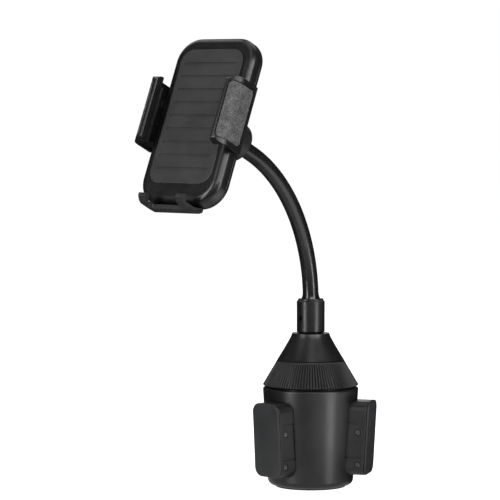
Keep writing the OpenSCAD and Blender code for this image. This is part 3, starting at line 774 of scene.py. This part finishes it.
def wrap_plate(name, height, floor, grow, rows, columns, place):
    """A plate wrapped on the arm's skin, between floor and height(u, z, edge) above it,
    where edge is the distance to the outline. grow widens the inlay's outline."""
    half = INLAY_HALF + grow
    verts, faces = [], []
    for layer in (0, 1):
        for i in range(rows + 1):
            z = half * (-1 + 2 * i / rows)
            u0, u1 = inlay_limits(z, grow)
            for j in range(columns + 1):
                u = u0 + (u1 - u0) * j / columns
                p, n = skin(u)
                edge = min(u - u0, u1 - u, half - abs(z))
                h = height(u, z, max(edge, 0)) if layer == 0 else floor
                q = p + n * h
                verts.append((q.x, q.y, z))
    n = columns + 1
    size = (rows + 1) * n
    for i in range(rows):
        for j in range(columns):
            a = i * n + j
            faces.append((a, a + 1, a + n + 1, a + n))
            b = a + size
            faces.append((b, b + n, b + n + 1, b + 1))
    rim = (
        list(range(n))
        + [i * n + columns for i in range(1, rows + 1)]
        + [rows * n + j for j in range(columns - 1, -1, -1)]
        + [i * n for i in range(rows - 1, 0, -1)]
    )
    for k, a in enumerate(rim):
        b = rim[(k + 1) % len(rim)]
        faces.append((b, a, a + size, b + size))
    return raw_mesh(name, verts, faces, place)


def grain(u, z, edge):
    """Height of the leather-grained inlay above the skin: pillowed edge, cells, creases."""
    cells_per_mm, crease_width, crease_depth = 0.78, 0.28, 0.26
    lumps_per_mm, lump_height = 0.45, 0.05
    edge_width, sunk, rise = 0.7, -0.75, 0.72
    d, _ = noise.voronoi(Vector((u * cells_per_mm, z * cells_per_mm, 4.0)),
                         distance_metric="DISTANCE", exponent=1.0)
    crease = min((d[1] - d[0]) / crease_width, 1.0)
    lumps = noise.noise(Vector((u * lumps_per_mm, z * lumps_per_mm, 9.0)))
    fall = min(edge / edge_width, 1.0)
    base = sunk + rise * math.sqrt(max(1 - (1 - fall) ** 2, 0))
    return base + (-crease_depth * (1 - crease) ** 1.4 + lump_height * lumps) * fall


def arm(side):
    """An arm with its inlay and its two bars; side is +1 for the right one."""
    place = CRADLE if side > 0 else CRADLE @ HALF_TURN
    word = "right" if side > 0 else "left"
    body = f"{word}_arm"
    half = ARM_H / 2
    shell = prism(f"arm_shell_{word}", arm_section(), -half, half, place)
    outline = rounded(
        [(-7.0, -half, 5.0), (ARM_BACK, -half), (ARM_BACK, half), (-7.0, half, 5.0)],
        steps=10)
    boolean(shell, [prism("round", outline, 20, 40, place, axis="X")], "INTERSECT")
    bevel(shell, 0.55, segments=3, angle=40)
    recess = wrap_plate("recess", lambda u, z, edge: 2.0, floor=-1.0, grow=0.3, rows=40,
                        columns=40, place=place)
    boolean(shell, [recess])
    finish_piece(shell, "arm_plastic", body, [f"arm_{word}"])
    rack(place, word, body)
    columns, rows = ((96, 190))
    plate = wrap_plate(f"leather_inlay_{word}", grain, floor=-0.95, grow=0.0, rows=rows,
                       columns=columns, place=place)
    finish_piece(plate, "inlay", body, [f"arm_inlay_{word}"], angle=70)


def rack(place, word, body):
    """Bars that slide in the case: the rack with its teeth below the pinion, and the plain
    guide above it. The teeth are of module 1, so their spacing is pi."""
    depth_out, depth_in, slant, play = 0.9, 1.15, math.tan(math.radians(25)), 0.15
    half = (math.pi / 2 - play) / 2
    crest, root = -6 + depth_out, -6 - depth_in
    end, front, back = 35.4, 10.8, 14.2
    teeth = []
    for k in range(-5, 1):
        c = (k + 0.5) * math.pi
        teeth += [
            (c - half - depth_in * slant, root), (c - half + depth_out * slant, crest),
            (c + half - depth_out * slant, crest), (c + half + depth_in * slant, root),
        ]
    outline = (
        [(-18.0, -12.0), (end, -12.0), (end, root)] + teeth[::-1] + [(-18.0, root)]
    )
    bar = prism(f"rack_bar_{word}", outline, front, back, place, axis="Y")
    finish_piece(bar, "arm_plastic", body)
    guide = [(8.0, 16.5), (end, 16.5), (end, 20.5), (8.0, 20.5)]
    rod = prism(f"guide_bar_{word}", guide, front, back, place, axis="Y")
    bevel(rod, 0.25, segments=2)
    finish_piece(rod, "arm_plastic", body)


def support():
    """Bottom support: two fingers that curve up in front of the phone's lower edge, on a
    tongue that slides in the case."""
    side = rounded(
        [(-5.0, -57.4, 0.5), (-2.2, -56.9, 0.5), (-1.2, -58.4, 0.6), (-0.8, -61.3, 0.9),
         (8.0, -61.4, 2.0), (12.0, -60.2, 1.0), (15.0, -59.2), (17.1, -59.2),
         (17.1, -61.4, 1.2), (14.0, -63.4, 2.0), (9.0, -64.5, 4.0), (2.0, -64.1, 4.0),
         (-3.0, -62.0, 2.5), (-5.2, -59.4, 1.0)], steps=6)
    body = prism("two_finger_support", side, -19, 19, CRADLE, axis="X")
    plan = rounded(
        [(-17.8, -6), (17.8, -6), (18.2, 0, 6), (19, 10, 6), (18, 18), (-18, 18),
         (-19, 10, 6), (-18.2, 0, 6)])
    front = arc(0, 55.5, 120, -105, -75, 40) + [(30, -50), (-30, -50)]
    boolean(body, [prism("plan", plan, -70, -50, CRADLE, axis="Z"),
                   prism("front", front, -10, 20, CRADLE, axis="Y")], "INTERSECT")
    gap = rounded([(-12.25, -8), (12.25, -8), (12.25, 5, 1.5), (-12.25, 5, 1.5)])
    boolean(body, [prism("gap", gap, -70, -50, CRADLE, axis="Z")])
    bevel(body, 0.5, segments=3, angle=40)
    tongue = rounded([(-12, -60), (12, -60), (12, -16, 1.5), (-12, -16, 1.5)])
    boolean(body, [prism("tongue", tongue, 15, 17.1, CRADLE, axis="Y")], "UNION")
    finish_piece(body, "support_plastic", "support", ["bottom_support"])


# ---------- CAD nodes that stay ----------

def paint_frame():
    """Gives every CAD node the material of its slot."""
    slots = {part["node"]: part["material_slot"] for part in frame["record"]["subparts"]}
    for name, node in frame["nodes"].items():
        mat = MATERIALS[slots[name]]
        if node.material_slots:
            for slot in node.material_slots:
                slot.material = mat
        else:
            node.data.materials.append(mat)


# ---------- studio, in metres ----------

CAMERA_SPOT = Vector((1.07324, -1.42941, 0.26729))
CAMERA_AIM = Vector((-0.0378, -0.0175, 0.1574))
MIDDLE = Vector((0, -0.03, 0.15))
FLOOR_Z = -0.0001


def softbox(name, turn, rise, distance, size, radiance):
    """A soft rectangular light. turn is to the right of the camera and rise above level, in
    degrees, as seen from the object; radiance is its brightness."""
    facing = math.atan2(CAMERA_SPOT.y, CAMERA_SPOT.x) + math.radians(turn)
    up = math.radians(rise)
    out = Vector((math.cos(facing) * math.cos(up), math.sin(facing) * math.cos(up),
                  math.sin(up)))
    data = bpy.data.lights.new(name, "AREA")
    data.shape = "RECTANGLE"
    data.size, data.size_y = size
    data.energy = radiance * math.pi * size[0] * size[1]
    obj = bpy.data.objects.new(name, data)
    obj.location = MIDDLE + out * distance
    obj.rotation_euler = out.to_track_quat("Z", "Y").to_euler()
    obj.visible_camera = False
    bpy.context.scene.collection.objects.link(obj)
    return obj


def floor():
    """A pale floor that glows as the studio's white table does, just under the object."""
    half = 30
    corners = [(-half, -half), (half, -half), (half, half), (-half, half)]
    mesh = bpy.data.meshes.new("floor")
    mesh.from_pydata([(x, y, FLOOR_Z) for x, y in corners], [], [(0, 1, 2, 3)])
    obj = bpy.data.objects.new("floor", mesh)
    bpy.context.scene.collection.objects.link(obj)
    mat, _, shader = new_material("pale_floor")
    shader.inputs["Base Color"].default_value = (0.84, 0.84, 0.84, 1)
    shader.inputs["Roughness"].default_value = 0.6
    shader.inputs["Emission Color"].default_value = (1, 1, 1, 1)
    shader.inputs["Emission Strength"].default_value = 1.0
    mesh.materials.append(mat)
    obj.visible_glossy = False


def surroundings():
    """White round the object for the camera, and a dim room for its reflections."""
    world = bpy.data.worlds.new("studio")
    bpy.context.scene.world = world
    world.use_nodes = True
    tree = world.node_tree
    room = tree.nodes["Background"]
    room.inputs["Color"].default_value = (1, 1, 1, 1)
    room.inputs["Strength"].default_value = 0.025
    white = tree.nodes.new("ShaderNodeBackground")
    white.inputs["Color"].default_value = (1, 1, 1, 1)
    path = tree.nodes.new("ShaderNodeLightPath")
    mix = tree.nodes.new("ShaderNodeMixShader")
    tree.links.new(path.outputs["Is Camera Ray"], mix.inputs["Fac"])
    tree.links.new(room.outputs["Background"], mix.inputs[1])
    tree.links.new(white.outputs["Background"], mix.inputs[2])
    tree.links.new(mix.outputs["Shader"], tree.nodes["World Output"].inputs["Surface"])


def lights():
    """Strips on both sides of the camera, light from the floor, and softer lights above and
    behind."""
    softbox("right", 52, 8, 1.3, (0.26, 1.3), 10.5)
    softbox("left", -50, 10, 1.3, (0.26, 1.2), 13.0)
    # cards that face up from just above the floor, as the glossy parts see the white table
    toward = Vector((CAMERA_SPOT.x, CAMERA_SPOT.y, 0)).normalized()
    for name, turn, distance, radiance in (
            ("floor_front", 0, 0.17, 0.5), ("floor_right", 62, 0.3, 1.3)):
        card = softbox(name, 0, -90, MIDDLE.z - 0.0005, (0.36, 0.36), radiance)
        card.location += distance * (Matrix.Rotation(math.radians(turn), 3, "Z") @ toward)
    softbox("front_fill", 0, 10, 1.8, (1.6, 1.6), 0.03)
    softbox("grip_key", 18, 30, 1.4, (1.2, 0.3), 7.0)
    softbox("front_top", 8, 60, 1.4, (0.4, 0.3), 2.5)
    softbox("overhead", 0, 90, 2.0, (1.2, 1.2), 1.2)
    softbox("back_low", 180, 9, 1.5, (0.5, 0.3), 1.4)
    softbox("back_left", -140, 50, 1.5, (0.8, 0.8), 1.5)
    softbox("back_right", 150, 50, 1.5, (0.8, 0.8), 1.5)


def camera():
    """The photographer's view: a long lens from the right, a little above level."""
    data = bpy.data.cameras.new("camera")
    data.lens = 193.4
    data.sensor_width = 36
    obj = bpy.data.objects.new("camera", data)
    obj.location = CAMERA_SPOT
    obj.rotation_euler = (CAMERA_AIM - CAMERA_SPOT).to_track_quat("-Z", "Y").to_euler()
    bpy.context.scene.collection.objects.link(obj)
    bpy.context.scene.camera = obj


paint_frame()
base_shell()
cone_cap()
collar()
dial()
for index, foot_turn in enumerate(FOOT_TURNS, 1):
    foot_pad(index, foot_turn)
    foot_frame(index, foot_turn)
sleeve()
nut()
case_halves()
cradle_mat()
arm(1)
arm(-1)
support()
floor()
surroundings()
lights()
camera()
bpy.context.scene.view_settings.view_transform = "Standard"
